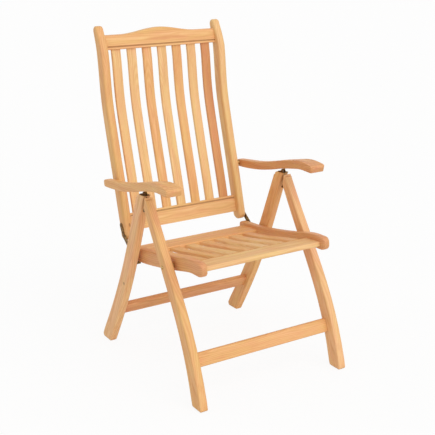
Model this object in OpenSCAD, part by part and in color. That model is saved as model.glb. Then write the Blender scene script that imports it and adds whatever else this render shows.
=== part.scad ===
// Folding, reclining garden armchair in teak with brass hinges.
// Millimetres, +Z up, the sitter looks towards -Y. The origin is the middle of the
// chair's own footprint on the floor. Two side frames of curved legs are hinged at their
// tops, the seat hangs between them, the back turns on the rear ends of the seat rails,
// and notched arms drop over catches on the leg tops to hold the back at five angles.
// Left and right are as seen by someone who faces the chair.

/* [Seat] */
// Clear width between the two seat rails
seat_clear_w = 432; // [420:1:436]
// Thickness of a seat rail, sideways
rail_w = 26; // [25:1:28]
// Depth of a seat rail at its front half, top to bottom
rail_depth = 43; // [37:1:45]
// Depth of a seat rail at its rear end, top to bottom
rail_rear_depth = 51; // [43:1:52]
// Reach of the seat rails' rounded ends in front of the origin
seat_front = 322; // [310:1:335]
// Reach of the seat rails' square ends behind the origin
seat_rear = 168; // [160:1:170]
// Height of a seat rail's centre line at its front end
seat_front_h = 431; // [425:1:435]
// Height of a seat rail's centre line at its rear end
seat_rear_h = 361; // [357:1:364]
// Width of a seat slat
seat_slat_w = 38; // [32:1:44]
// Gap between an outer seat slat and the seat rail beside it
seat_edge_gap = 21.5; // [16:0.5:24]
// Thickness of a seat slat
seat_slat_t = 12; // [10:1:14]
// Front-to-back depth of the wide front rail
front_rail_d = 74; // [64:1:90]
// Front-to-back depth of the wide rear rail
rear_rail_d = 90; // [70:1:100]
// Thickness of the front rail
front_rail_t = 17; // [15:1:20]
// Thickness of the rear rail, which stands proud of the slats
rear_rail_t = 21; // [19:1:24]

/* [Legs] */
// Sideways thickness of a leg
leg_t = 28; // [24:1:34]
// Gap between a seat rail and a leg, filled by the spacer
side_gap = 11; // [9:1:14]
// Height of the leg tops above the floor
leg_top_h = 603; // [598:1:606]
// Reach of the front feet's centres in front of the origin
front_foot = 346; // [330:1:360]
// Reach of the rear feet's centres behind the origin
rear_foot = 283; // [270:1:295]
// Forward bow of a front leg's curve
front_bow = 30; // [20:1:36]
// Forward bow of a rear leg's curve
rear_bow = 20; // [12:1:26]
// Width of a front leg at its top
front_top_w = 31; // [28:1:34]
// Width of a front leg at its foot
front_foot_w = 55; // [48:1:60]
// Width of a rear leg at its top
rear_top_w = 41; // [38:1:44]
// Width of a rear leg at its foot
rear_foot_w = 56; // [48:1:60]
// Height of the front stretcher's centre line
front_stretcher_h = 141; // [110:1:170]
// Height of the rear stretcher's centre line
rear_stretcher_h = 143; // [115:1:175]
// Depth of a stretcher, top to bottom
stretcher_depth = 45; // [34:1:50]
// Thickness of a stretcher, front to back
stretcher_t = 20; // [16:1:24]

/* [Back] */
// Height of the ears on the back stiles
back_top_h = 1092; // [1062:1:1120]
// Height of the back stiles' rounded feet
back_foot_h = 390; // [388:1:393]
// How far the feet of the back stiles stand behind the origin
back_foot_y = 186; // [185:1:189]
// How far the ears lean behind the feet
back_lean = 169; // [158:1:180]
// Front-to-back depth of a back stile
stile_depth = 44; // [38:1:45]
// How far the stiles stand out beyond the seat rails, sideways
stile_proud = 0.5; // [0.3:0.1:1]
// Width of a back slat
back_slat_w = 34; // [28:1:40]
// Gap between an outer back slat and the stile beside it
back_edge_gap = 21.5; // [16:0.5:24]
// Thickness of a back slat
back_slat_t = 11; // [9:1:13]
// Thickness of the crest rail and of the back's bottom rail
back_rail_t = 18; // [15:1:20]
// Height of the crest rail at its ends
crest_end_h = 46; // [40:1:52]
// Extra height of the crest rail's wave at its middle
crest_wave_h = 17; // [10:1:22]
// Height of the back's bottom rail
bottom_rail_h = 57; // [48:1:64]

/* [Arms] */
// Depth of an arm, top to bottom
arm_depth = 28; // [25:1:29]
// Width of the flat paddle at an arm's front
paddle_w = 56; // [46:1:60]
// Reach of an arm's tip in front of the origin
arm_front = 215; // [205:1:222]
// Spacing of the five notches under an arm
notch_pitch = 25; // [20:1:26]

/* [Hinges] */
// Diameter of the leg hinge's knuckle
knuckle_d = 8; // [7:0.5:9]
// Diameter of the leg hinge's pin
hinge_pin_d = 4; // [3:0.5:5]
// Thickness of a hinge leaf
leaf_t = 1.5; // [1:0.1:2]
// Diameter of the bolts that carry the seat and the arms
bolt_d = 8; // [6:0.5:9]
// Diameter of the low heads on the seat bolts and back pins
bolt_head_d = 12; // [11:1:14]
// Diameter of the collars that keep the frames apart
collar_d = 18; // [15:1:20]
// Diameter of the pins that carry the back
back_pin_d = 8; // [6:0.5:9]
// Thickness of the brass strap on a stile's foot
strap_t = 3; // [2:0.5:4]
// Diameter of the catch pin that an arm drops over
catch_pin_d = 5; // [4:0.5:6]
// Diameter of the pegs that the rear of the seat rests on
peg_d = 10; // [8:0.5:12]
// Radial running clearance of a pin in its hole
running = 0.05; // [0.02:0.01:0.08]

/* [Finish] */
// Radius of the rounded long edges of the frame
arris = 5; // [2:0.5:6]
// Radius of the rounded long edges of the back stiles
stile_arris = 7; // [4:0.5:9]
// Radius of the rounded long edges of the seat's slats and of the cross rails
slat_arris = 4.5; // [2:0.5:5]
// Radius of the rounded long edges of the back slats
back_slat_arris = 3.5; // [1.5:0.5:4]
// Radius of the rounded long edges of the arms
arm_arris = 3.5; // [2:0.5:6]

/* [Hidden] */

TEAK = "burlywood";
TEAK_RED = "peru";
BRASS = "goldenrod";
LEFT = -1;
RIGHT = 1;
SLATS = 7;
MIDDLE_SLAT = 4;

// Round parts are true cylinders
ROUND = 48;
// Gap between faces that move past each other
slide = 0.3;
// Gap between pieces that are fixed to each other with room for a screw's thread
seated = 0.05;

// Planes that the side frames stand in, measured from the chair's middle
rail_in = seat_clear_w / 2;
rail_out = rail_in + rail_w;
rail_mid = rail_in + rail_w / 2;
leg_in = rail_out + side_gap;
leg_out = leg_in + leg_t;
leg_mid = leg_in + leg_t / 2;
stile_in = rail_in - 2;
stile_out = rail_out + stile_proud;
stile_w = stile_out - stile_in;
stile_mid = (stile_in + stile_out) / 2;

// A smooth line through a few chosen points, each a list of numbers
function before(P, i) = i > 0 ? P[i - 1] : 2 * P[0] - P[1];
function after(P, i) = i + 1 < len(P) ? P[i + 1] : 2 * P[i] - P[i - 1];
function blend(a, b, c, d, t) =
    0.5 * (2 * b + (c - a) * t + (2 * a - 5 * b + 4 * c - d) * t * t
           + (3 * b - a - 3 * c + d) * t * t * t);
function spline_at(P, s) =
    let (i = min(floor(s), len(P) - 2))
    blend(before(P, i), P[i], P[i + 1], after(P, i + 1), s - i);
function spline(P, steps) =
    [for (k = [0 : steps]) spline_at(P, k * (len(P) - 1) / steps)];
function mix(a, b, t) = a + (b - a) * t;
function unit(v) = v / norm(v);

// Outline of a bar's section, w across and d deep, with rounded corners
function section(w, d, r) =
    let (q = min(r, 0.45 * w, 0.45 * d))
    [for (c = [[1, 1, 0], [-1, 1, 90], [-1, -1, 180], [1, -1, 270]], a = [0, 45, 90])
        [c[0] * (w / 2 - q) + q * cos(c[2] + a), c[1] * (d / 2 - q) + q * sin(c[2] + a)]];

// A bent bar in an upright plane: each station is [y, z, depth, width], x is its middle
module bar(stations, x, r) {
    n = len(stations);
    m = 12;
    function heading(i) =
        let (a = stations[max(i - 1, 0)], b = stations[min(i + 1, n - 1)])
        atan2(b[1] - a[1], b[0] - a[0]);
    points = [for (i = [0 : n - 1]) let (s = stations[i], h = heading(i))
        for (p = section(s[3], s[2], r)) [x + p[0], s[0] - sin(h) * p[1], s[1] + cos(h) * p[1]]];
    sides = [for (i = [0 : n - 2], j = [0 : m - 1])
        let (a = i * m + j, b = i * m + (j + 1) % m)
        for (face = [[a, b, b + m], [a, b + m, a + m]]) face];
    polyhedron(points, concat([[for (j = [m - 1 : -1 : 0]) j]],
                              [[for (j = [0 : m - 1]) (n - 1) * m + j]], sides));
}

// Stations that round off the end of a bar over a length, losing rd and rw on each side
function rounded_end(p, direction, length, depth, width, rd, rw) =
    [for (a = [25, 50, 70, 84])
        [p[0] + direction[0] * length * sin(a), p[1] + direction[1] * length * sin(a),
         depth - 2 * rd * (1 - cos(a)), width - 2 * rw * (1 - cos(a))]];

// A straight bar across the chair, d deep along the slope and t thick, centred on p
module cross_bar(p, slope, d, t, length, r) {
    translate([0, p[0], p[1]])
        rotate([slope, 0, 0])
            rotate([90, 0, 90])
                linear_extrude(length, center = true)
                    polygon(section(d, t, r));
}

// A round piece along the chair's width, from x = a to x = b on one side of it
module across(side, p, a, b, d) {
    translate([side * (a + b) / 2, p[0], p[1]])
        rotate([0, 90, 0])
            cylinder(h = b - a, d = d, center = true, $fn = ROUND);
}

// A domed head that stands out from x = a
module dome(side, p, a, d, h) {
    translate([side * a, p[0], p[1]])
        rotate([0, side * 90, 0])
            rotate_extrude($fn = ROUND)
                polygon([[0, 0], [d / 2, 0], [d / 2, h * 0.3], [d * 0.44, h * 0.62],
                         [d * 0.32, h * 0.88], [0, h]]);
}

// A flat plate on one side of the chair, drawn in the upright plane
module plate(side, a, b) {
    translate([side * (a + b) / 2, 0, 0])
        rotate([90, 0, 90])
            linear_extrude(b - a, center = true)
                children();
}

// A countersunk wood screw along -Z with its head flush at the origin; fit widens it
module wood_screw(d, length, fit) {
    rotate_extrude($fn = 24)
        polygon([[0, fit], [d + fit, fit], [d + fit, -0.4], [d / 2 + fit, -d / 2 - 0.4],
                 [d / 2 + fit, -length - fit], [0, -length - fit]]);
}

// Side frames: the curve of each leg, from above its cut top to below the floor
leg_extra = 13;
ankle_h = 6;
// The curve runs on a little past the ankle, to end below the floor
leg_end = 1.02;
front_top = [-25, leg_top_h + leg_extra];
rear_top = [-20, leg_top_h + leg_extra];
front_end = [-front_foot, ankle_h];
rear_end = [rear_foot, ankle_h];
front_skew = 1.6;
rear_skew = 1.15;
function leg_point(top, end, bow, skew, t) =
    let (u = unit(end - top), n = [u[1], -u[0]])
    mix(top, end, t) + bow * sin(180 * pow(t, skew)) * n;
function front_point(t) = leg_point(front_top, front_end, front_bow, front_skew, t);
function rear_point(t) = leg_point(rear_top, rear_end, rear_bow, rear_skew, t);
function front_width(t) = mix(front_top_w, front_foot_w, t);
function rear_width(t) = mix(rear_top_w, rear_foot_w, t);
// Centre line of a leg as height against distance, to place what is fixed to it
LEG_STEPS = 14;
function leg_table(front) = [for (k = [LEG_STEPS : -1 : 0])
    let (t = leg_end * k / LEG_STEPS, p = front ? front_point(t) : rear_point(t)) [p[1], p[0]]];
front_table = leg_table(true);
rear_table = leg_table(false);
function front_y(z) = lookup(z, front_table);
function rear_y(z) = lookup(z, rear_table);
function front_slope(z) = atan2(front_y(z + 20) - front_y(z - 20), 40);
function rear_slope(z) = atan2(rear_y(z + 20) - rear_y(z - 20), 40);
foot_round = 14;
function leg_stations(front) =
    let (last = front ? front_width(1) : rear_width(1),
         a = front ? front_point(0.95) : rear_point(0.95),
         b = front ? front_point(leg_end) : rear_point(leg_end),
         along = unit(b - a), start = b - foot_round * along)
    concat(
        [for (k = [0 : LEG_STEPS - 1])
            let (t = 0.97 * k / (LEG_STEPS - 1), p = front ? front_point(t) : rear_point(t))
            [p[0], p[1], front ? front_width(t) : rear_width(t), leg_t]],
        rounded_end(start, along, foot_round, last, leg_t, foot_round, 3));

// Leg hinge: its knuckle at the crotch, its leaves in the mitre above it
hinge = [-35, leg_top_h - 48];
mitre_lean = 13;
leaf_h = 38;
leaf_w = leg_t - 4;
knuckle_gap = 0.2;
middle_knuckle = leaf_w / 3;
leaf_screw_d = 3.5;
leaf_screw_h = [14, 29];

module in_mitre(side) {
    translate([side * leg_mid, hinge[0], hinge[1]])
        rotate([mitre_lean, 0, 0])
            children();
}

// Everything on one side of the mitre: toward = -1 is in front of it, 1 is behind it
module beyond_mitre(side, toward, from) {
    reach = 140;
    in_mitre(side)
        translate([-leg_t, toward > 0 ? from : -from - reach, -reach])
            cube([2 * leg_t, reach, 2 * reach]);
}

module leaf_screw_set(side, toward, fit) {
    in_mitre(side)
        for (h = leaf_screw_h)
            translate([0, toward * seated, h])
                rotate([toward * 90, 0, 0])
                    wood_screw(leaf_screw_d, 15, fit);
}

module knuckle_space(side) {
    across(side, hinge, leg_in - 1, leg_out + 1, knuckle_d + 1.4);
}

module floor_and_top_cut(side) {
    big = 200;
    translate([side * leg_mid - big / 2, -2 * big, -big]) cube([big, 4 * big, big]);
    translate([side * leg_mid - big / 2, -big, leg_top_h]) cube([big, 2 * big, big]);
}

// Seat bolt through the front leg and the seat rail, a little behind the leg's middle
seat_bolt = front_point(0.362) + [4.6, 0];
seat_bolt_z = seat_bolt[1];

// Seat rails: a shallow S that rises to a rounded front end
rail_round = rail_depth / 2;
// How far the bolt sits below the rail's centre line
bolt_drop = 4;
rail_line = [
    [-seat_front + rail_round, seat_front_h], [-seat_front + 80, seat_front_h - 3],
    seat_bolt + [0, bolt_drop], [-40, mix(seat_bolt_z + bolt_drop, seat_rear_h, 0.49)],
    [60, mix(seat_bolt_z + bolt_drop, seat_rear_h, 0.814)], [seat_rear, seat_rear_h]
];
RAIL_STEPS = 15;
rail_points = spline(rail_line, RAIL_STEPS);
function rail_z(y) = lookup(y, rail_points);
function rail_slope(y) = atan2(rail_z(y + 15) - rail_z(y - 15), 30);
function rail_deep(y) =
    mix(rail_depth, rail_rear_depth, max(0, (y - seat_bolt[0]) / (seat_rear - seat_bolt[0])));

// Seat surface: how far its rails and its slats lie above the seat rails' middle
front_lip_y = -seat_front + 25;
front_rail_y = front_lip_y + front_rail_d;
rear_rail_inset = 18;
rear_rail_end = seat_rear - rear_rail_inset;
rear_rail_y = rear_rail_end - rear_rail_d;
front_lip = rail_depth / 2 - 15.5;
front_rail_rise = 6;
rear_rail_rise = 13;
slat_rise = [
    [front_lip_y, front_lip], [front_rail_y, front_rail_rise],
    [mix(front_rail_y, rear_rail_y, 0.26), 8.5], [mix(front_rail_y, rear_rail_y, 0.5), 9],
    [mix(front_rail_y, rear_rail_y, 0.74), 8.5], [rear_rail_y, 9], [rear_rail_end, 9]
];
RISE_STEPS = 36;
rise_table = spline(slat_rise, RISE_STEPS);
function slat_top(y) = rail_z(y) + lookup(y, rise_table);

// Pivot of the back, through the rear ends of the seat rails
back_pivot = [seat_rear - 30, seat_rear_h + 11];

// Back: the line of its stiles from foot to ear, as shares of its lean and its height
back_curve = [[0, 0], [0.22, 0.2], [0.51, 0.444], [0.735, 0.657], [0.85, 0.885], [1, 1]];
foot_end_r = 18;
ear_r = 12;
back_h = back_top_h - back_foot_h;
stile_start = [back_foot_y + 3, back_foot_h + foot_end_r];
stile_stop = [back_foot_y + back_lean - 6, back_top_h - ear_r];
back_line = [for (c = back_curve)
    [mix(stile_start[0], stile_stop[0], c[0]), mix(stile_start[1], stile_stop[1], c[1])]];
BACK_STEPS = 20;
back_points = spline(back_line, BACK_STEPS);
back_table = [for (p = back_points) [p[1], p[0]]];
function back_y(z) = lookup(z, back_table);
function back_tilt(z) = atan2(back_y(z + 12) - back_y(z - 12), 24);
// A point of the back at a height, moved back across it
function back_at(z, offset) =
    [back_y(z) + offset * cos(back_tilt(z)), z - offset * sin(back_tilt(z))];
back_skin = 7;
rail_offset = stile_depth / 2 - back_skin - back_rail_t / 2;
slat_offset = stile_depth / 2 - back_skin - back_slat_t / 2;
bottom_rail_z = back_foot_h + 28;
slats_from = bottom_rail_z + bottom_rail_h;
// How far the slats' upper ends lie below the ears
crest_drop = 77;
slats_to = back_top_h - crest_drop;
crest_z = slats_to;

// Arm pivot in the front half of the stile, and the catch that the arm drops over
arm_pivot_z = back_foot_h + 196;
arm_pivot = [back_y(arm_pivot_z) - 4.9, arm_pivot_z];
catch_y = -24;
catch_base_t = 2;
catch_pin = [catch_y, leg_top_h + catch_base_t + 6.5];
catch_gap = 1.6;

// Arm: a shallow sag from its pivot to the catch, then a lift and a drooping tip
arm_sag = 8;
arm_over_catch = [catch_y, catch_pin[1] + catch_pin_d / 2 + catch_gap + arm_depth / 2 + 0.4];
arm_tip_round = 9;
arm_reach = arm_front - arm_tip_round + catch_y;
function arm_back_point(u) =
    mix(arm_pivot, arm_over_catch, u) - [0, arm_sag * sin(180 * u)];
arm_line = concat(
    [[arm_pivot[0] + 4, arm_pivot[1] - 1, arm_depth - 3, leg_t]],
    [for (u = [0.2, 0.5, 0.8]) concat(arm_back_point(u), [arm_depth, leg_t])],
    [concat(arm_over_catch, [arm_depth, leg_t]),
     [catch_y - 0.38 * arm_reach, arm_over_catch[1] + 15, arm_depth + 1, mix(leg_t, paddle_w, 0.25)],
     [catch_y - 0.69 * arm_reach, arm_over_catch[1] + 25, arm_depth + 1, mix(leg_t, paddle_w, 0.85)],
     [catch_y - arm_reach, arm_over_catch[1] + 23, arm_depth - 2, paddle_w]]);
ARM_STEPS = 21;
arm_points = spline(arm_line, ARM_STEPS);
arm_tail = 16;

// Notched rack let into the arm's underside
rack_w = 8;
rack_h = 8;
rack_lead = 10;
rack_length = 2 * rack_lead + 4 * notch_pitch;
rack_end_y = catch_y - 4 * notch_pitch;
arm_under = [for (i = [ARM_STEPS : -1 : 0]) [arm_points[i][0], arm_points[i][1] - arm_points[i][2] / 2]];
function under_z(y) = lookup(y, arm_under);
rack_slope = atan2(under_z(rack_end_y) - under_z(catch_y), rack_end_y - catch_y) + 180;
notch_r = catch_pin_d / 2 + 0.4;
rack_inset = 0.4;

// Peg let into the rear leg, which the seat rail's underside rests on
peg_y = 96;
peg_rest = 0.3;
peg_seat = 18;
peg_reach = 12;
peg = [peg_y, rail_z(peg_y) - rail_deep(peg_y) / 2 / cos(rail_slope(peg_y)) - peg_d / 2 - peg_rest];

// Strap that carries the stile's foot on the back pin
strap_in = stile_out;
strap_knee = [stile_start[0] - 2, stile_start[1] + 2];
strap_top = back_at(back_foot_h + 50, 5);
strap_r = 8.5;
strap_screw_d = 4;

// One curved leg of a side frame, shaped but not yet cut
module leg_blank(side, front) {
    bar(leg_stations(front), side * leg_mid, arris);
}

// Front leg, mitred at its top against the rear leg, with its foot cut flat
module front_leg(side) color(TEAK) difference() {
    leg_blank(side, true);
    beyond_mitre(side, 1, -leaf_t - seated);
    floor_and_top_cut(side);
    top_corner_cut(side, true);
    knuckle_space(side);
    leaf_screw_set(side, -1, seated);
    across(side, seat_bolt, leg_in - 1, leg_out + 1, bolt_d + 2 * running);
    stretcher_tenon(side, true, seated);
}

// Rear leg, which carries the catch on its flat top
module rear_leg(side) color(TEAK) difference() {
    leg_blank(side, false);
    beyond_mitre(side, -1, -leaf_t - seated);
    floor_and_top_cut(side);
    knuckle_space(side);
    leaf_screw_set(side, 1, seated);
    top_corner_cut(side, false);
    catch_screw_set(side, seated);
    across(side, peg, leg_in - 1, leg_in + peg_seat + end_play, peg_d + 2 * running);
    stretcher_tenon(side, false, seated);
}

// Rounds the outer corner of a leg's flat top
module top_corner_cut(side, front) {
    r = front ? 10 : 14;
    edge = front
        ? front_y(leg_top_h) - front_top_w / 2 / cos(front_slope(leg_top_h - 20)) + r + 1
        : rear_y(leg_top_h) + rear_top_w / 2 / cos(rear_slope(leg_top_h - 20)) - r - 2;
    translate([side * leg_mid, edge, leg_top_h - r])
        rotate([0, 0, front ? 180 : 0])
        difference() {
            translate([-leg_t, 0, 0]) cube([2 * leg_t, 2 * r, 2 * r]);
            rotate([0, 90, 0]) cylinder(h = 3 * leg_t, r = r, center = true, $fn = ROUND);
        }
}

// Stretchers between the legs, tenoned into them
tenon_length = 16;
tenon_t = 9;
tenon_depth = 28;
stretcher_set_back = 13;
function stretcher_place(front) =
    let (z = front ? front_stretcher_h : rear_stretcher_h,
         slope = front ? front_slope(z) : rear_slope(z),
         shift = front ? stretcher_set_back : -2)
    [front ? front_y(z) + shift * cos(slope) : rear_y(z) + shift * cos(slope),
     z - shift * sin(slope), 90 - slope];

module stretcher_tenon(side, front, fit) {
    p = stretcher_place(front);
    translate([side * (leg_in + (tenon_length - 1) / 2), p[0], p[1]])
        rotate([p[2], 0, 0])
            cube([tenon_length + 1 + 2 * fit, tenon_depth + 2 * fit, tenon_t + 2 * fit], center = true);
}

module stretcher(front) color(TEAK) {
    p = stretcher_place(front);
    cross_bar(p, p[2], stretcher_depth, stretcher_t, 2 * leg_in, slat_arris);
    for (side = [LEFT, RIGHT]) stretcher_tenon(side, front, 0);
}

// Hinge leaf with its share of the knuckle: toward = -1 on the front leg, 1 on the rear
module hinge_leaf(side, toward) color(BRASS) difference() {
    union() {
        in_mitre(side)
            translate([-leaf_w / 2, toward > 0 ? seated : -leaf_t - seated, 0])
                cube([leaf_w, leaf_t, leaf_h]);
        across(side, hinge, leg_mid - leaf_w / 2, leg_mid + leaf_w / 2, knuckle_d);
    }
    across(side, hinge, leg_in - 1, leg_out + 1, hinge_pin_d + 2 * running);
    other_knuckles(side, toward);
    leaf_screw_set(side, toward, seated);
}

// Room for the other leaf's knuckles
module other_knuckles(side, toward) {
    room = knuckle_d + 2 * slide;
    half = middle_knuckle / 2;
    if (toward < 0) across(side, hinge, leg_mid - half - knuckle_gap, leg_mid + half + knuckle_gap, room);
    if (toward > 0) {
        across(side, hinge, leg_mid - leg_t, leg_mid - half, room);
        across(side, hinge, leg_mid + half, leg_mid + leg_t, room);
    }
}

module leg_hinge_pins() color(BRASS)
    for (side = [LEFT, RIGHT]) across(side, hinge, leg_mid - leaf_w / 2, leg_mid + leaf_w / 2, hinge_pin_d);

module leaf_screws(toward) color(BRASS)
    for (side = [LEFT, RIGHT]) leaf_screw_set(side, toward, 0);

// Bolts through the front legs into the seat rails, which stop short of the inner face
bolt_blind = 6;
end_play = 0.2;
head_h = 2.4;
module seat_bolts() color(BRASS)
    for (side = [LEFT, RIGHT]) {
        across(side, seat_bolt, rail_in + bolt_blind + end_play, leg_out, bolt_d);
        dome(side, seat_bolt, leg_out, bolt_head_d, head_h);
    }

// Brass spacers that keep the seat rails off the legs
module seat_spacers() color(BRASS)
    for (side = [LEFT, RIGHT]) difference() {
        across(side, seat_bolt, rail_out + slide, leg_in, collar_d);
        across(side, seat_bolt, rail_out - 1, leg_in + 1, bolt_d + 2 * running);
    }

// Catch on a rear leg's top: a base plate with two ears that hold the catch pin
catch_w = 22;
catch_front = -39;
catch_rear = -8;
ear_t = 2;
ear_gap = rack_w + 2;
catch_screw_y = [-34, -13];
catch_screw_d = 3;
module catch_bracket(side) color(BRASS) difference() {
    union() {
        translate([side * leg_mid - catch_w / 2, catch_front, leg_top_h])
            cube([catch_w, catch_rear - catch_front, catch_base_t]);
        for (ear = [LEFT, RIGHT])
            translate([side * leg_mid + ear * (ear_gap + ear_t) / 2, 0, 0])
                rotate([90, 0, 90])
                    linear_extrude(ear_t, center = true)
                        union() {
                            translate(catch_pin) circle(d = catch_pin_d - 0.6, $fn = ROUND);
                            polygon([[catch_pin[0] - 6, leg_top_h + 1], [catch_pin[0] + 6, leg_top_h + 1],
                                     [catch_pin[0] + 2, catch_pin[1]], [catch_pin[0] - 2, catch_pin[1]]]);
                        }
    }
    catch_pin_run(side, 2 * seated);
    catch_screw_set(side, seated);
}

// The pin is stepped down where it is riveted through the ears
module catch_pin_run(side, fit) {
    half = ear_gap / 2 + ear_t;
    across(side, catch_pin, leg_mid - half, leg_mid + half, 2.6 + fit);
}

module catch_pins() color(BRASS)
    for (side = [LEFT, RIGHT]) {
        catch_pin_run(side, 0);
        across(side, catch_pin, leg_mid - ear_gap / 2, leg_mid + ear_gap / 2, catch_pin_d);
    }

module catch_screw_set(side, fit) {
    for (y = catch_screw_y)
        translate([side * leg_mid, y, leg_top_h + catch_base_t])
            wood_screw(catch_screw_d, 16, fit);
}

module catch_screws() color(BRASS)
    for (side = [LEFT, RIGHT]) catch_screw_set(side, 0);

// Pegs in the rear legs, under the seat rails
module seat_rest_pegs() color(BRASS)
    for (side = [LEFT, RIGHT]) across(side, peg, rail_out - peg_reach, leg_in + peg_seat, peg_d);

// Seat rail with a rounded nose, the bolt's hole and a blind hole for the back pin
pin_blind = 8;
module seat_rail(side) color(TEAK) difference() {
    bar(concat(
        [for (s = [3 : -1 : 0]) rounded_end(rail_points[0], [-1, 0.06], rail_round,
            rail_depth, rail_w, rail_round * 0.98, 8)[s]],
        [for (p = rail_points) [p[0], p[1], rail_deep(p[0]), rail_w]]),
        side * rail_mid, arris);
    across(side, seat_bolt, rail_in + bolt_blind, rail_out + 1, bolt_d + 2 * running);
    across(side, back_pivot, rail_in + pin_blind, rail_out + 1, back_pin_d + 2 * running);
    rail_corner_cut(side);
    for (front = [true, false]) cross_rail_tenon(side, front, seated);
}

// Rounds the upper corner of a seat rail's rear end
module rail_corner_cut(side) {
    r = 14;
    last = rail_points[RAIL_STEPS] - rail_points[RAIL_STEPS - 1];
    translate([side * rail_mid, seat_rear, seat_rear_h])
        rotate([atan2(last[1], last[0]), 0, 0])
            translate([0, -r, rail_rear_depth / 2 - r + 0.1])
                difference() {
                    translate([-rail_w, 0, 0]) cube([2 * rail_w, 3 * r, 2 * r]);
                    rotate([0, 90, 0]) cylinder(h = 3 * rail_w, r = r, center = true, $fn = ROUND);
                }
}

// The wide rails across the seat, tenoned into the seat rails
function cross_rail_place(front) =
    let (a = front ? front_lip_y : rear_rail_y, b = front ? front_rail_y : rear_rail_end,
         za = rail_z(a) + (front ? front_lip : rear_rail_rise),
         zb = rail_z(b) + (front ? front_rail_rise : rear_rail_rise),
         slope = atan2(zb - za, b - a), t = front ? front_rail_t : rear_rail_t)
    [(a + b) / 2 + sin(slope) * t / 2, (za + zb) / 2 - cos(slope) * t / 2,
     slope, norm([b - a, zb - za]), t];

module cross_rail_tenon(side, front, fit) {
    p = cross_rail_place(front);
    long = min(p[3] - 30, 50);
    translate([side * (rail_in + 5), p[0] + (front ? 0 : -8), p[1]])
        rotate([p[2], 0, 0])
            cube([11 + 2 * fit, long + 2 * fit, 9 + 2 * fit], center = true);
}

module cross_rail(front) color(TEAK) {
    p = cross_rail_place(front);
    difference() {
        cross_bar(p, p[2], p[3], p[4], 2 * rail_in, slat_arris);
        for (i = [1 : SLATS]) slat_tenon(i, front, seated);
    }
    for (side = [LEFT, RIGHT]) cross_rail_tenon(side, front, 0);
}

// Seat slats, tenoned into the wide rails
seat_slat_pitch = (seat_clear_w - 2 * seat_edge_gap - seat_slat_w) / (SLATS - 1);
function seat_slat_x(i) = (i - MIDDLE_SLAT) * seat_slat_pitch;
SLAT_STEPS = 11;
slat_tenon_l = 10;
module slat_tenon(i, front, fit) {
    y = front ? front_rail_y : rear_rail_y;
    z = slat_top(y) - seat_slat_t / 2 + (front ? -1 : 1);
    slope = cross_rail_place(front)[2];
    translate([seat_slat_x(i), y, z])
        rotate([slope, 0, 0])
            cube([seat_slat_w - 14 + 2 * fit, 2 * slat_tenon_l + 2 * fit, 5 + 2 * fit], center = true);
}

module seat_slat(i) color(TEAK) {
    difference() {
        bar([for (k = [-1 : SLAT_STEPS + 1])
                let (y = mix(front_rail_y, rear_rail_y, k / SLAT_STEPS))
                [y, slat_top(y) - seat_slat_t / 2, seat_slat_t, seat_slat_w]],
            seat_slat_x(i), slat_arris);
        for (front = [true, false]) cross_rail_room(front);
    }
    for (front = [true, false]) slat_tenon(i, front, 0);
}

// Room for a wide rail, which the slats' shoulders are cut back to
module cross_rail_room(front) {
    p = cross_rail_place(front);
    translate([0, p[0], p[1]])
        rotate([p[2], 0, 0])
            cube([2 * rail_in, p[3] + 2 * seated, 4 * rail_depth], center = true);
}

// Pins that carry the back on the seat rails
module back_pins() color(BRASS)
    for (side = [LEFT, RIGHT]) {
        across(side, back_pivot, rail_in + pin_blind + end_play, strap_in + strap_t + slide, back_pin_d);
        dome(side, back_pivot, strap_in + strap_t + slide, bolt_head_d, head_h);
    }

// Back stile: a lumbar curve, a rounded foot and an ear that sweeps back
module back_stile(side) color(TEAK) difference() {
    bar(concat(
        [for (s = [3 : -1 : 0]) rounded_end(stile_start, [-0.25, -0.97], foot_end_r,
            stile_depth, stile_w, stile_depth * 0.47, 5)[s]],
        [for (p = back_points)
            let (thin = max(0, (p[1] - (back_top_h - 90)) / 90))
            [p[0] + 0.14 * stile_depth * thin, p[1], stile_depth * (1 - 0.4 * thin), stile_w]],
        rounded_end(stile_stop + [0.13 * stile_depth, 0], [0.34, 0.94], ear_r, stile_depth * 0.65,
            stile_w, stile_depth * 0.28, 5)),
        side * stile_mid, stile_arris);
    across(side, arm_pivot, stile_in + bolt_blind, stile_out + 1, bolt_d + 2 * running);
    strap_screw_set(side, seated);
}

// Curved board between the stiles, seen from the side, from one height to another
module board(from, to, t, offset) {
    steps = 5;
    heights = [for (k = [0 : steps]) mix(from, to, k / steps)];
    rotate([90, 0, 90])
        linear_extrude(2 * stile_in, center = true)
            polygon(concat([for (z = heights) back_at(z, offset - t / 2)],
                           [for (k = [steps : -1 : 0]) back_at(heights[k], offset + t / 2)]));
}

// Bead along a board's front face
module bead_groove(z) {
    p = back_at(z, rail_offset - back_rail_t / 2);
    translate([0, p[0], p[1]])
        rotate([0, 90, 0])
            cylinder(h = 2 * stile_in + 2, r = 2.2, center = true, $fn = 24);
}

// Crest rail: level at its ends, with one smooth wave in the middle of its top edge
wave_half = 150;
crest_reach = 10 * back_rail_t;
function crest_rise(x) =
    crest_end_h + (abs(x) < wave_half ? crest_wave_h * (0.5 + 0.5 * cos(180 * x / wave_half)) : 0);
module crest_rail() color(TEAK) difference() {
    intersection() {
        board(crest_z, crest_z + crest_end_h + crest_wave_h + 10, back_rail_t, rail_offset);
        translate([0, back_y(crest_z), 0])
            rotate([90, 0, 0])
                linear_extrude(crest_reach, center = true)
                    polygon(concat([[-stile_in - 1, crest_z - 20], [stile_in + 1, crest_z - 20]],
                        [for (k = [20 : -1 : -20]) let (x = k / 20 * (stile_in + 1))
                            [x, crest_z + crest_rise(x)]]));
    }
    bead_groove(crest_z + 8);
    for (i = [1 : SLATS]) back_slat_tenon(i, true, seated);
}

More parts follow.
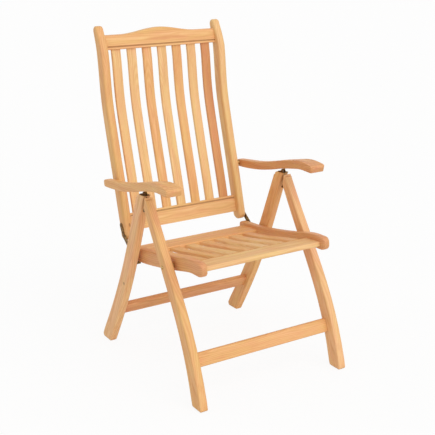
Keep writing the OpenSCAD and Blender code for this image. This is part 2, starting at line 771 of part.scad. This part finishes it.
module back_bottom_rail() color(TEAK) difference() {
    board(bottom_rail_z, slats_from, back_rail_t, rail_offset);
    bead_groove(slats_from - 8);
    for (i = [1 : SLATS]) back_slat_tenon(i, false, seated);
}

// Back slats follow the stiles' curve between the two rails
back_slat_pitch = (2 * stile_in - 2 * back_edge_gap - back_slat_w) / (SLATS - 1);
function back_slat_x(i) = (i - MIDDLE_SLAT) * back_slat_pitch;
module back_slat_tenon(i, upper, fit) {
    z = upper ? slats_to : slats_from;
    p = back_at(z, slat_offset);
    translate([back_slat_x(i), p[0], p[1]])
        rotate([-back_tilt(z), 0, 0])
            cube([back_slat_w - 8 + 2 * fit, 5 + 2 * fit, 18 + 2 * fit], center = true);
}

module back_slat(i) color(i == SLATS ? TEAK_RED : TEAK) {
    intersection() {
        bar([for (k = [-1 : 15])
                let (z = mix(slats_from, slats_to, k / 14), p = back_at(z, slat_offset))
                [p[0], p[1], back_slat_t, back_slat_w]],
            back_slat_x(i), back_slat_arris);
        between_rails();
    }
    for (upper = [true, false]) back_slat_tenon(i, upper, 0);
}

// The space between the bottom rail's top edge and the crest rail's bottom edge
module between_rails() {
    a = slats_from;
    b = slats_to;
    half = 60;
    rotate([90, 0, 90])
        linear_extrude(2 * stile_in, center = true)
            polygon([back_at(a, -half), back_at(a, half), back_at(b, half), back_at(b, -half)]);
}

// Brass strap on a stile's foot, turning on the back pin
module strap_outline() {
    spots = [back_pivot, strap_knee, strap_top];
    for (s = spots) translate(s) circle(r = strap_r, $fn = ROUND);
    for (k = [0, 1])
        let (a = spots[k], b = spots[k + 1], u = unit(b - a) * strap_r, n = [-u[1], u[0]])
        polygon([a + n, a - n, b - n, b + n]);
}

module strap_screw_set(side, fit) {
    for (p = [mix(strap_knee, strap_top, 0.3), strap_top])
        translate([side * (strap_in + strap_t), p[0], p[1]])
            rotate([0, side * 90, 0])
                wood_screw(strap_screw_d, 20, fit);
}

module back_strap(side) color(BRASS) difference() {
    plate(side, strap_in, strap_in + strap_t) strap_outline();
    across(side, back_pivot, strap_in - 1, strap_in + strap_t + 1, back_pin_d + 2 * running);
    strap_screw_set(side, seated);
}

module strap_screws() color(BRASS)
    for (side = [LEFT, RIGHT]) strap_screw_set(side, 0);

// Bolt with a spacer collar that joins an arm to a stile, hidden in both of them
module arm_bolt(side) color(BRASS) {
    across(side, arm_pivot, stile_in + bolt_blind + end_play, leg_out - bolt_blind - end_play, bolt_d);
    across(side, arm_pivot, stile_out + slide, leg_in - slide, collar_d);
}

// Arm: a rounded tail at the stile, a slim run over the catch and a broad paddle
module arm(side) color(TEAK) difference() {
    bar(concat(
        [for (s = [3 : -1 : 0]) rounded_end(arm_points[0], [0.995, -0.1], arm_tail,
            arm_depth - 3, leg_t, 6, 4)[s]],
        arm_points,
        rounded_end([-arm_front + arm_tip_round, arm_points[ARM_STEPS][1]], [-0.97, -0.24],
            arm_tip_round, arm_points[ARM_STEPS][2], paddle_w, 4, 8)),
        side * leg_mid, arm_arris);
    across(side, arm_pivot, leg_in - 1, leg_out - bolt_blind, bolt_d + 2 * running);
    on_rack(side)
        translate([-rack_w / 2 - seated, -rack_length + rack_lead - seated, -10])
            cube([rack_w + 2 * seated, rack_length + 2 * seated, rack_h + rack_inset + 10 + seated]);
}

// Frame of the rack: its origin under the first notch, its length along -Y
module on_rack(side) {
    translate([side * leg_mid, catch_y, under_z(catch_y)])
        rotate([rack_slope, 0, 0])
            children();
}

// Brass rack with five notches
module arm_rack(side) color(BRASS) on_rack(side)
    difference() {
        translate([-rack_w / 2, -rack_length + rack_lead, rack_inset])
            cube([rack_w, rack_length, rack_h]);
        for (k = [0 : 4])
            translate([0, -k * notch_pitch, 0])
                rotate([0, 90, 0])
                    cylinder(h = 2 * rack_w, r = notch_r + rack_inset, center = true, $fn = ROUND);
    }

front_leg(LEFT);  // front_leg_left
front_leg(RIGHT);  // front_leg_right
stretcher(true);  // front_stretcher
seat_bolts();
seat_spacers();
hinge_leaf(LEFT, -1);  // hinge_leaf_front_left
hinge_leaf(RIGHT, -1);  // hinge_leaf_front_right
leg_hinge_pins();
leaf_screws(-1);  // front_leaf_screws
rear_leg(LEFT);  // rear_leg_left
rear_leg(RIGHT);  // rear_leg_right
stretcher(false);  // rear_stretcher
hinge_leaf(LEFT, 1);  // hinge_leaf_rear_left
hinge_leaf(RIGHT, 1);  // hinge_leaf_rear_right
leaf_screws(1);  // rear_leaf_screws
catch_bracket(LEFT);  // catch_bracket_left
catch_bracket(RIGHT);  // catch_bracket_right
catch_pins();
catch_screws();
seat_rest_pegs();
seat_rail(LEFT);  // seat_rail_left
seat_rail(RIGHT);  // seat_rail_right
cross_rail(true);  // seat_front_rail
cross_rail(false);  // seat_rear_rail
for (i = [1 : SLATS]) seat_slat(i);
back_pins();
back_stile(LEFT);  // back_stile_left
back_stile(RIGHT);  // back_stile_right
crest_rail();
back_bottom_rail();
for (i = [1 : SLATS]) back_slat(i);
back_strap(LEFT);  // back_strap_left
back_strap(RIGHT);  // back_strap_right
strap_screws();
arm_bolt(LEFT);  // arm_bolt_left
arm_bolt(RIGHT);  // arm_bolt_right
arm(LEFT);  // arm_left
arm(RIGHT);  // arm_right
arm_rack(LEFT);  // arm_rack_left
arm_rack(RIGHT);  // arm_rack_right
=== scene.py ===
import math

import bmesh
import bpy
from mathutils import Matrix, Vector


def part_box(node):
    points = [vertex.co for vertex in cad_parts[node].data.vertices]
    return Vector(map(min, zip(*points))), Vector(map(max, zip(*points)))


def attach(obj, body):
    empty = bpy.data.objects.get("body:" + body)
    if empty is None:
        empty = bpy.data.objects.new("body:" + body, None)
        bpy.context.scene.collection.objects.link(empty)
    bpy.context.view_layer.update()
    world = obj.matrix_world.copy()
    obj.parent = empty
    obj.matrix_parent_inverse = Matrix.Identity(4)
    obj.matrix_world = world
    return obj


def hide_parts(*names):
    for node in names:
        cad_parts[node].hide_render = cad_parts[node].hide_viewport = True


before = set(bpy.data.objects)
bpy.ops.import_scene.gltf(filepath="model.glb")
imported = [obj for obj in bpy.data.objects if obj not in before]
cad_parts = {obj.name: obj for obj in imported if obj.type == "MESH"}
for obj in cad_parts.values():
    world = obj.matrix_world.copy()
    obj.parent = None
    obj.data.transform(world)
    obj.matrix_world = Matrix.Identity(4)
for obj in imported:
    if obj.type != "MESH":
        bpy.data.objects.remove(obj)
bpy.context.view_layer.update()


# Front legs
# Two curved legs sawn from straight 28 mm teak plank, so that the grain runs straight from top to
# foot while the edges curve. A router has rounded their long edges, and their feet are sanded
# round on all sides.

MM = 0.001

LEFT, RIGHT = Vector((-1, 0, 0)), Vector((1, 0, 0))
FRONT, REAR = Vector((0, -1, 0)), Vector((0, 1, 0))
DOWN = Vector((0, 0, -1))

# Dark, middle and light tones of two of the boards in one stack of teak
ROSE = ("#dba56e", "#ecb680", "#f3c691")
HONEY = ("#d69b5e", "#e6ae70", "#efbd82")


def linear(hex_colour):
    """A linear RGBA from an sRGB hex value."""
    parts = [int(hex_colour[i:i + 2], 16) / 255 for i in (1, 3, 5)]
    return (*(c / 12.92 if c <= 0.04045 else ((c + 0.055) / 1.055) ** 2.4 for c in parts), 1.0)


def add(tree, kind, settings=None, links=None):
    """Adds a node.

    settings holds its own properties or its sockets' values, and links says what feeds a socket.
    """
    node = tree.nodes.new(kind)
    for name, value in (settings or {}).items():
        if isinstance(name, str) and hasattr(node, name):
            setattr(node, name, value)
        else:
            node.inputs[name].default_value = value
    for name, source in (links or {}).items():
        tree.links.new(source, node.inputs[name])
    return node


def new_material(name):
    """A material with an empty node tree."""
    material = bpy.data.materials.new(name)
    material.use_nodes = True
    material.node_tree.nodes.clear()
    return material


def tones(ramp, stops):
    """Sets a colour ramp's stops from pairs of place and hex colour."""
    elements = ramp.color_ramp.elements
    while len(elements) < len(stops):
        elements.new(0.5)
    for element, (place, colour) in zip(elements, stops):
        element.position = place
        element.color = linear(colour)


def along_plank(tree, place, centre, along, wide, pith):
    """Object space turned so that X runs along the grain, from an origin at the tree's heart."""
    thick = along.cross(Vector(wide)).normalized()
    broad = thick.cross(along)
    turn = Matrix((along, broad, thick)).transposed().to_euler()
    heart = Vector(centre) + broad * pith[0] * MM + thick * pith[1] * MM
    plank = add(tree, "ShaderNodeMapping",
                {"vector_type": "TEXTURE", "Location": heart, "Rotation": turn},
                {"Vector": place.outputs["Object"]})
    return plank.outputs[0]


def patches(tree, place, length, width, detail, roughness=0.5):
    """Noise in patches of a length along the grain and a width across it."""
    drawn = add(tree, "ShaderNodeMapping", {"Scale": (1 / length, 1 / width, 1 / width)},
                {"Vector": place})
    return add(tree, "ShaderNodeTexNoise",
               {"Scale": 1.0, "Detail": detail, "Roughness": roughness},
               {"Vector": drawn.outputs[0]})


def board_colour(tree, plank, palette):
    """The figure of a board, from its growth rings and streaks, with a slow drift of hue."""
    # The trunk was never quite straight: the rings wander about 9 mm over 300 mm of length
    wander = patches(tree, plank, 300 * MM, 62.5 * MM, detail=2.0)
    most_wander = 35 * MM
    swayed = add(tree, "ShaderNodeVectorMath",
                 {"operation": "MULTIPLY_ADD", 1: (0, most_wander, most_wander)},
                 {0: wander.outputs["Color"], 2: plank}).outputs[0]
    # Blender's ring waves repeat every 2 pi / (20 x scale)
    ring_gap = 5 * MM
    rings = add(tree, "ShaderNodeTexWave",
                {"wave_type": "RINGS", "rings_direction": "X", "wave_profile": "SIN",
                 "Scale": 2 * math.pi / (20 * ring_gap), "Distortion": 0.0},
                {"Vector": swayed})
    # Streaks of darker heartwood
    streaks = patches(tree, swayed, 400 * MM, 12.5 * MM, detail=4.0, roughness=0.6)
    ring_share = 0.2
    figure = add(tree, "ShaderNodeMix", {"data_type": "FLOAT", 0: ring_share},
                 {2: streaks.outputs["Fac"], 3: rings.outputs["Fac"]})
    tone = add(tree, "ShaderNodeValToRGB", links={"Fac": figure.outputs[0]})
    dark, plain, light = palette
    tones(tone, [(0.25, dark), (0.5, plain), (0.75, light)])
    # Along a board the hue drifts between straw and rose; 0.5 is the node's unturned hue
    drift = patches(tree, plank, 150 * MM, 30 * MM, detail=3.0, roughness=0.7)
    hue_swing = 0.011
    hue = add(tree, "ShaderNodeMapRange",
              {"From Min": 0.3, "From Max": 0.7,
               "To Min": 0.5 - hue_swing, "To Max": 0.5 + hue_swing},
              {"Value": drift.outputs["Fac"]})
    drifted = add(tree, "ShaderNodeHueSaturation",
                  links={"Hue": hue.outputs[0], "Color": tone.outputs["Color"]})
    return drifted.outputs["Color"]


def open_pores(tree, plank, depth):
    """How far a point lies in a pore, from 0 to depth.

    In life pores are 0.4 mm wide. Here they are 1.2 mm wide and 25 mm long, so that they show.
    """
    dashes = patches(tree, plank, 25 * MM, 1.2 * MM, detail=2.0, roughness=0.7)
    pores = add(tree, "ShaderNodeMapRange", {"From Min": 0.56, "From Max": 0.78, "To Max": depth},
                {"Value": dashes.outputs["Fac"]})
    return pores.outputs[0]


def browned_ends(tree, place, colour, along):
    """A colour made browner on sawn ends, which drink more oil than the long faces."""
    end = add(tree, "ShaderNodeVectorMath", {"operation": "DOT_PRODUCT", 1: along},
              {0: place.outputs["Normal"]})
    either_end = add(tree, "ShaderNodeMath", {"operation": "ABSOLUTE"}, {0: end.outputs["Value"]})
    browned = add(tree, "ShaderNodeMapRange", {"From Min": 0.8, "From Max": 0.97, "To Max": 0.16},
                  {"Value": either_end.outputs[0]})
    oiled = add(tree, "ShaderNodeMix",
                {"data_type": "RGBA", "blend_type": "MULTIPLY", 7: linear("#a87850")},
                {0: browned.outputs[0], 6: colour})
    return oiled.outputs[2]


def marked(tree, place, colour, spot, radius, reach):
    """A colour with a dark brown mark round a spot, drawn out along each axis where reach is 0."""
    # Besides real marks such as the knot, this paints the shade along the rails' grooves.
    offset = add(tree, "ShaderNodeVectorMath", {"operation": "SUBTRACT", 1: spot},
                 {0: place.outputs["Object"]})
    near = add(tree, "ShaderNodeVectorMath", {"operation": "MULTIPLY", 1: reach},
               {0: offset.outputs[0]})
    away = add(tree, "ShaderNodeVectorMath", {"operation": "LENGTH"}, {0: near.outputs[0]})
    dark = add(tree, "ShaderNodeMapRange",
               {"From Min": 0.5 * radius, "From Max": radius, "To Min": 0.65, "To Max": 0.0},
               {"Value": away.outputs["Value"]})
    mixed = add(tree, "ShaderNodeMix", {"data_type": "RGBA", 7: linear("#84502c")},
                {0: dark.outputs[0], 6: colour})
    return mixed.outputs[2]


def teak(name, centre, grain, wide, pith, palette, marks=()):
    """Teak, planed, sanded and oiled: soft sheen, long streaks and fine pores along the grain.

    grain is the way the fibres run, wide the way of the plank's broad face, and pith is how far
    the heart of the tree lies from the plank's centre, in mm. A mark is a place, a radius and
    how far it reaches along each axis.
    """
    material = new_material(name)
    tree = material.node_tree
    place = add(tree, "ShaderNodeTexCoord")
    along = Vector(grain).normalized()
    plank = along_plank(tree, place, centre, along, wide, pith)
    pore_depth = 0.2
    pores = open_pores(tree, plank, pore_depth)
    grained = add(tree, "ShaderNodeMix",
                  {"data_type": "RGBA", "blend_type": "MULTIPLY", 7: linear("#9c6a40")},
                  {0: pores, 6: board_colour(tree, plank, palette)})
    colour = browned_ends(tree, place, grained.outputs[2], along)
    for spot, radius, reach in marks:
        colour = marked(tree, place, colour, spot, radius, reach)

    # Oil soaks into the open pores, so they are duller and a little sunken
    dull = add(tree, "ShaderNodeMapRange",
               {"From Max": pore_depth, "To Min": 0.48, "To Max": 0.66}, {"Value": pores})
    relief = add(tree, "ShaderNodeBump", {"invert": True, "Strength": 0.35, "Distance": 0.3 * MM},
                 {"Height": pores})
    wood = add(tree, "ShaderNodeBsdfPrincipled", {"IOR": 1.5, "Specular IOR Level": 0.4},
               {"Base Color": colour, "Roughness": dull.outputs[0], "Normal": relief.outputs[0]})
    add(tree, "ShaderNodeOutputMaterial", links={"Surface": wood.outputs[0]})
    return material


def round_over(form, centre, radius, side, end):
    """Sands the corner between a side and an end of a piece to a radius, one flat after another.

    centre is the middle of the rounding. Only what lies on its corner's side is sanded.
    """
    corner = (side + end).normalized()
    behind_corner = Vector(centre) - corner * radius
    bmesh.ops.bisect_plane(form, geom=form.verts[:] + form.edges[:] + form.faces[:],
                           plane_co=behind_corner, plane_no=corner)
    # How far each flat turns from the side towards the end, in degrees
    for turned in (15, 38, 60, 80):
        turn = math.radians(turned)
        outwards = (side * math.cos(turn) + end * math.sin(turn)).normalized()
        near = [f for f in form.faces if (f.calc_center_median() - behind_corner).dot(corner) > 0]
        # Each is listed once and in the mesh's order, since a set's order differs between runs
        rims = list(dict.fromkeys(e for f in near for e in f.edges))
        corners = list(dict.fromkeys(v for f in near for v in f.verts))
        bmesh.ops.bisect_plane(form, geom=near + rims + corners, clear_outer=True,
                               plane_co=Vector(centre) + outwards * radius, plane_no=outwards)
        bmesh.ops.holes_fill(form, edges=[e for e in form.edges if e.is_boundary], sides=0)


def finished(node, material, body, edge, roundings=()):
    """The sanded piece that stands for a CAD node: its mesh is welded and its cut edges eased."""
    weld = 0.002 * MM
    flat_within = math.radians(0.4)
    crisp_from = math.radians(50)
    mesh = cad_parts[node].data.copy()
    mesh.name = node + "_finished"
    form = bmesh.new()
    form.from_mesh(mesh)
    bmesh.ops.remove_doubles(form, verts=form.verts, dist=weld)
    for rounding in roundings:
        round_over(form, *rounding)
    bmesh.ops.dissolve_limit(form, angle_limit=flat_within, verts=form.verts, edges=form.edges)
    crisp = [e for e in form.edges if e.is_manifold and e.calc_face_angle() > crisp_from]
    bmesh.ops.bevel(form, geom=crisp, offset=edge, offset_type="OFFSET", segments=2,
                    profile=0.5, affect="EDGES", material=-1, clamp_overlap=True)
    form.to_mesh(mesh)
    form.free()
    mesh.shade_smooth()
    mesh.set_sharp_from_angle(angle=crisp_from)
    mesh.materials.clear()
    mesh.materials.append(material)
    piece = bpy.data.objects.new(node + "_finished", mesh)
    bpy.context.collection.objects.link(piece)
    even = piece.modifiers.new("even normals", "WEIGHTED_NORMAL")
    even.keep_sharp = True
    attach(piece, body)
    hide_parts(node)


def middle(node):
    """The middle of a CAD node's box."""
    low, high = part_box(node)
    return (Vector(low) + Vector(high)) / 2


def teak_piece(node, body, grain, wide, pith, palette, edge=0.6 * MM, marks=(),
               roundings=()):
    """A finished piece of teak that is cut from its own plank."""
    wood = teak("teak " + node, middle(node), grain, wide, pith, palette, marks)
    finished(node, wood, body, edge, roundings)


def rounded_below(leg, y, radius, side):
    """The rounding of a foot's lower edge: its middle, its radius and the sides it lies between."""
    low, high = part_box(leg)
    half_thick = (high[0] - low[0]) / 2
    x = middle(leg).x + side.x * (half_thick - radius)
    return (x, y, radius), radius, side, DOWN


front_heel_y, front_toe_y = -0.336, -0.359
hinge_to_front_foot = (0, -0.321, -0.610)
for side, palette in (("left", HONEY), ("right", ROSE)):
    leg = "front_leg_" + side
    foot = [rounded_below(leg, front_heel_y, 20 * MM, REAR),
            rounded_below(leg, front_toe_y, 12 * MM, FRONT),
            rounded_below(leg, front_toe_y, 10 * MM, LEFT),
            rounded_below(leg, front_toe_y, 10 * MM, RIGHT)]
    teak_piece(leg, "front_legs", grain=hinge_to_front_foot, wide=RIGHT, pith=(45, 25),
               palette=palette, roundings=foot)


# Rear legs
# Two more sawn legs, hinged to the front ones at the top. The front faces of their feet lean, and
# the left one has a small knot below the seat.

knot = ((-0.281, 0.122, 0.262), 7 * MM, (1, 1, 1))
leaning_front = Vector((0, -0.82, -0.57))
rear_toe_y = 0.2587
hinge_to_rear_foot = (0, 0.303, -0.610)
for side, palette, pith, marks in (("left", ROSE, (38, 20), [knot]),
                                   ("right", HONEY, (-42, 28), [])):
    leg = "rear_leg_" + side
    foot = [rounded_below(leg, rear_toe_y, 9 * MM, edge) for edge in (leaning_front, LEFT, RIGHT)]
    teak_piece(leg, "rear_legs", grain=hinge_to_rear_foot, wide=RIGHT, pith=pith,
               palette=palette, marks=marks, roundings=foot)


# Stretchers
# Flat teak bars tenoned between each pair of legs, to keep the side frames square. The rear one
# is cut from a redder board.

UP = Vector((0, 0, 1))
AMBER = ("#cc8d58", "#dfa16a", "#e9b27c")
for stretcher, body, palette in (("front_stretcher", "front_legs", HONEY),
                                 ("rear_stretcher", "rear_legs", AMBER)):
    teak_piece(stretcher, body, grain=RIGHT, wide=UP, pith=(35, 22), palette=palette)


# Seat rails
# The sawn side pieces of the seat, a shallow S with a rounded nose, 26 mm thick.

for side in ("left", "right"):
    teak_piece("seat_rail_" + side, "seat", grain=(0, 1, -0.14), wide=RIGHT, pith=(18, 40),
               palette=AMBER)


# Wide rails of the seat
# Broad flat boards across the front and rear of the seat, tenoned into the seat rails.

STRAW = ("#dba86c", "#eabb7f", "#f2cb91")
for rail, palette in (("seat_front_rail", STRAW), ("seat_rear_rail", HONEY)):
    teak_piece(rail, "seat", grain=RIGHT, wide=REAR, pith=(12, 38), palette=palette)


# Seat slats
# Seven slats with rounded edges, dished for the sitter and tenoned into the wide rails. They are
# cut from different boards, so their tones differ, and each from further across its board.

seat_boards = (HONEY, HONEY, STRAW, HONEY, STRAW, STRAW, HONEY)
for number, palette in enumerate(seat_boards, start=1):
    teak_piece(f"seat_slat_{number}", "seat", grain=(0, 1, -0.1), wide=RIGHT,
               pith=(11 * number - 40, 30), palette=palette)


# Back stiles
# The tall sawn uprights of the back, with a lumbar curve and ears that sweep back. The left one
# has a small dark dash painted above its strap.

dark_dash = ((-0.225, 0.176, 0.444), 4 * MM, (1, 1, 0.4))
for side, palette, marks in (("left", HONEY, [dark_dash]), ("right", STRAW, [])):
    teak_piece("back_stile_" + side, "back", grain=(0, 0.24, 1), wide=RIGHT, pith=(-24, 36),
               palette=palette, marks=marks)


# Crest rail and bottom rail of the back
# Curved boards between the stiles; the crest has one wave. Each has a bead groove cut along its
# face, and the groove's shade is painted into the wood along it as a dark line.

all_along = (0, 1, 1)
# Each groove gets a mark of painted shade, drawn out along the rail.
for rail, palette, groove in (("crest_rail", HONEY, (0, 0.3269, 1.0237)),
                              ("back_bottom_rail", STRAW, (0, 0.2014, 0.4677))):
    teak_piece(rail, "back", grain=RIGHT, wide=(0, 0.2, 1), pith=(16, 44), palette=palette,
               edge=0.4 * MM, marks=[(groove, 3.2 * MM, all_along)])


# Back slats
# Seven thin slats bent to the stiles' curve between the two rails. The last is cut from a much
# redder board.

RUSSET = ("#c27f4d", "#d5965f", "#e1a56e")
back_boards = (STRAW, STRAW, HONEY, STRAW, HONEY, STRAW, RUSSET)
for number, palette in enumerate(back_boards, start=1):
    teak_piece(f"back_slat_{number}", "back", grain=(0, 0.22, 1), wide=RIGHT,
               pith=(52 - 13 * number, 34), palette=palette)


# Arms
# Slim arms that broaden to a flat paddle, with all edges well rounded and the nose rolled over.

for side, palette in (("left", HONEY), ("right", AMBER)):
    arm = "arm_" + side
    x = middle(arm).x
    nose = [((x, -0.202, 0.6505), 14 * MM, FRONT, UP),  # rolled over above
            ((x, -0.207, 0.646), 6 * MM, FRONT, DOWN)]  # and eased below
    teak_piece(arm, arm, grain=(0, 1, -0.07), wide=RIGHT, pith=(14, 46), palette=palette,
               roundings=nose)


# Hinges of the legs
# Cast and turned brass: two leaves and a knuckle in the mitre at the top of each side frame.

def brass(name, dull, plain, bright):
    """Bare brass kept outdoors: satin where it is rubbed, browner and duller where it isn't."""
    material = new_material(name)
    tree = material.node_tree
    place = add(tree, "ShaderNodeTexCoord")
    patch = 8.33 * MM
    tarnish = add(tree, "ShaderNodeTexNoise", {"Scale": 1 / patch, "Detail": 4.0, "Roughness": 0.6},
                  {"Vector": place.outputs["Object"]})
    colour = add(tree, "ShaderNodeValToRGB", links={"Fac": tarnish.outputs["Fac"]})
    tones(colour, [(0.36, dull), (0.52, plain), (0.68, bright)])
    rough = add(tree, "ShaderNodeMapRange",
                {"From Min": 0.35, "From Max": 0.68, "To Min": 0.5, "To Max": 0.28},
                {"Value": tarnish.outputs["Fac"]})
    metal = add(tree, "ShaderNodeBsdfPrincipled", {"Metallic": 1.0},
                {"Base Color": colour.outputs["Color"], "Roughness": rough.outputs[0]})
    add(tree, "ShaderNodeOutputMaterial", links={"Surface": metal.outputs[0]})
    return material


old_brass = brass("weathered brass", "#4f3a20", "#7d5c30", "#a8824a")
for fitting, body in (("hinge_leaf_front_left", "front_legs"),
                      ("hinge_leaf_rear_left", "rear_legs"),
                      ("hinge_leaf_front_right", "front_legs"),
                      ("hinge_leaf_rear_right", "rear_legs"),
                      ("leg_hinge_pins", "front_legs"),
                      ("front_leaf_screws", "front_legs"),
                      ("rear_leaf_screws", "rear_legs")):
    finished(fitting, old_brass, body, edge=0.15 * MM)


# Seat bolts and spacers
# Low-headed brass bolts go through the front legs into the seat rails, with brass spacers
# between, and the seat turns on them.

clean_brass = brass("rubbed brass", "#a07c48", "#cfaa70", "#e6c892")
for fitting in ("seat_bolts", "seat_spacers"):
    finished(fitting, clean_brass, "front_legs", edge=0.3 * MM)


# Catches and pegs
# On each rear leg's top a bent brass bracket holds the pin that an arm's notches drop over.
# Brass pegs let into the rear legs carry the rear of the seat.

for fitting in ("catch_bracket_left", "catch_bracket_right", "catch_pins", "catch_screws",
                "seat_rest_pegs"):
    finished(fitting, old_brass, "rear_legs", edge=0.2 * MM)


# Straps of the back
# Brass straps screwed to the stiles' feet, which turn on pins in the seat rails.

finished("back_pins", old_brass, "back_pins", edge=0.2 * MM)
for fitting in ("back_strap_left", "back_strap_right", "strap_screws"):
    finished(fitting, old_brass, "back", edge=0.3 * MM)


# Bolts and racks of the arms
# Each arm turns on a shouldered bolt and has a notched brass rack let into its underside.

for side in ("left", "right"):
    finished("arm_bolt_" + side, clean_brass, "arm_bolt_" + side, edge=0.2 * MM)
    finished("arm_rack_" + side, old_brass, "arm_" + side, edge=0.2 * MM)


# Floor
# A plain pale studio floor, matt, which keeps a faint soft shadow of the chair: the camera sees
# mostly plain white, and a tenth of the light that falls on the floor.

def studio_floor():
    """Matt white paper that looks nine tenths like plain white to the camera."""
    material = new_material("matt white studio floor")
    tree = material.node_tree
    paper = add(tree, "ShaderNodeBsdfDiffuse", {"Color": linear("#f4f3f1")})
    white = add(tree, "ShaderNodeEmission", {"Color": (1, 1, 1, 1), "Strength": 1.0})
    ray = add(tree, "ShaderNodeLightPath")
    seen = add(tree, "ShaderNodeMath", {"operation": "MULTIPLY", 1: 0.9},
               {0: ray.outputs["Is Camera Ray"]})
    mixed = add(tree, "ShaderNodeMixShader",
                links={0: seen.outputs[0], 1: paper.outputs[0], 2: white.outputs[0]})
    add(tree, "ShaderNodeOutputMaterial", links={"Surface": mixed.outputs[0]})
    return material


# Its edge is so far off that no picture shows it
form = bmesh.new()
bmesh.ops.create_circle(form, cap_ends=True, segments=64, radius=40)
floor_mesh = bpy.data.meshes.new("studio_floor")
form.to_mesh(floor_mesh)
form.free()
floor_mesh.materials.append(studio_floor())
floor = bpy.data.objects.new("studio_floor", floor_mesh)
bpy.context.collection.objects.link(floor)


# Light
# A white sky gives even light from all round, and one very broad soft sun from the front gives
# the shapes their shading: fronts are brightest and left sides are darkest. The camera sees the
# sky as plain white, and so do gloss and mirrored light.

world = bpy.data.worlds.new("white sky")
bpy.context.scene.world = world
world.use_nodes = True
world.node_tree.nodes.clear()
ray = add(world.node_tree, "ShaderNodeLightPath")
seen_or_mirrored = add(world.node_tree, "ShaderNodeMath", {"operation": "MAXIMUM"},
                       {0: ray.outputs["Is Camera Ray"], 1: ray.outputs["Is Glossy Ray"]})
plain_white = add(world.node_tree, "ShaderNodeMath", {"operation": "MAXIMUM"},
                  {0: seen_or_mirrored.outputs[0], 1: ray.outputs["Is Transmission Ray"]})
sky_light = 0.705
strength = add(world.node_tree, "ShaderNodeMapRange", {"To Min": sky_light, "To Max": 1.0},
               {"Value": plain_white.outputs[0]})
sky = add(world.node_tree, "ShaderNodeBackground", {"Color": (1, 1, 1, 1)},
          {"Strength": strength.outputs[0]})
add(world.node_tree, "ShaderNodeOutputWorld", links={"Surface": sky.outputs[0]})

lamp = bpy.data.lights.new("main light", "SUN")
lamp.energy = 1.17
lamp.angle = math.radians(60)
sun = bpy.data.objects.new("main light", lamp)
towards = Vector((-0.10, 0.80, -0.60))
sun.rotation_euler = towards.to_track_quat("-Z", "Y").to_euler()
bpy.context.collection.objects.link(sun)

bpy.context.scene.view_settings.view_transform = "Standard"


# Camera
# It stands before the chair's left front corner, above seat height, and looks down on it. Its
# place, turn and lens were fitted to the photo.

azimuth, elevation, roll = math.radians(-32.0086), math.radians(17.0137), math.radians(-0.3541)
level_across = Vector((math.cos(azimuth), math.sin(azimuth), 0))
behind = Vector((math.sin(azimuth) * math.cos(elevation),
                 -math.cos(azimuth) * math.cos(elevation), math.sin(elevation)))
level_up = behind.cross(level_across)
tilted_across = level_across * math.cos(roll) + level_up * math.sin(roll)
tilted_up = level_up * math.cos(roll) - level_across * math.sin(roll)
lens = bpy.data.cameras.new("photo camera")
lens.lens = 76.30
lens.sensor_width = 36
camera = bpy.data.objects.new("photo camera", lens)
camera.matrix_world = Matrix.LocRotScale(
    Vector((-1.5498, -2.5041, 1.3791)),
    Matrix((tilted_across, tilted_up, behind)).transposed().to_quaternion(), None)
bpy.context.collection.objects.link(camera)
bpy.context.scene.camera = camera
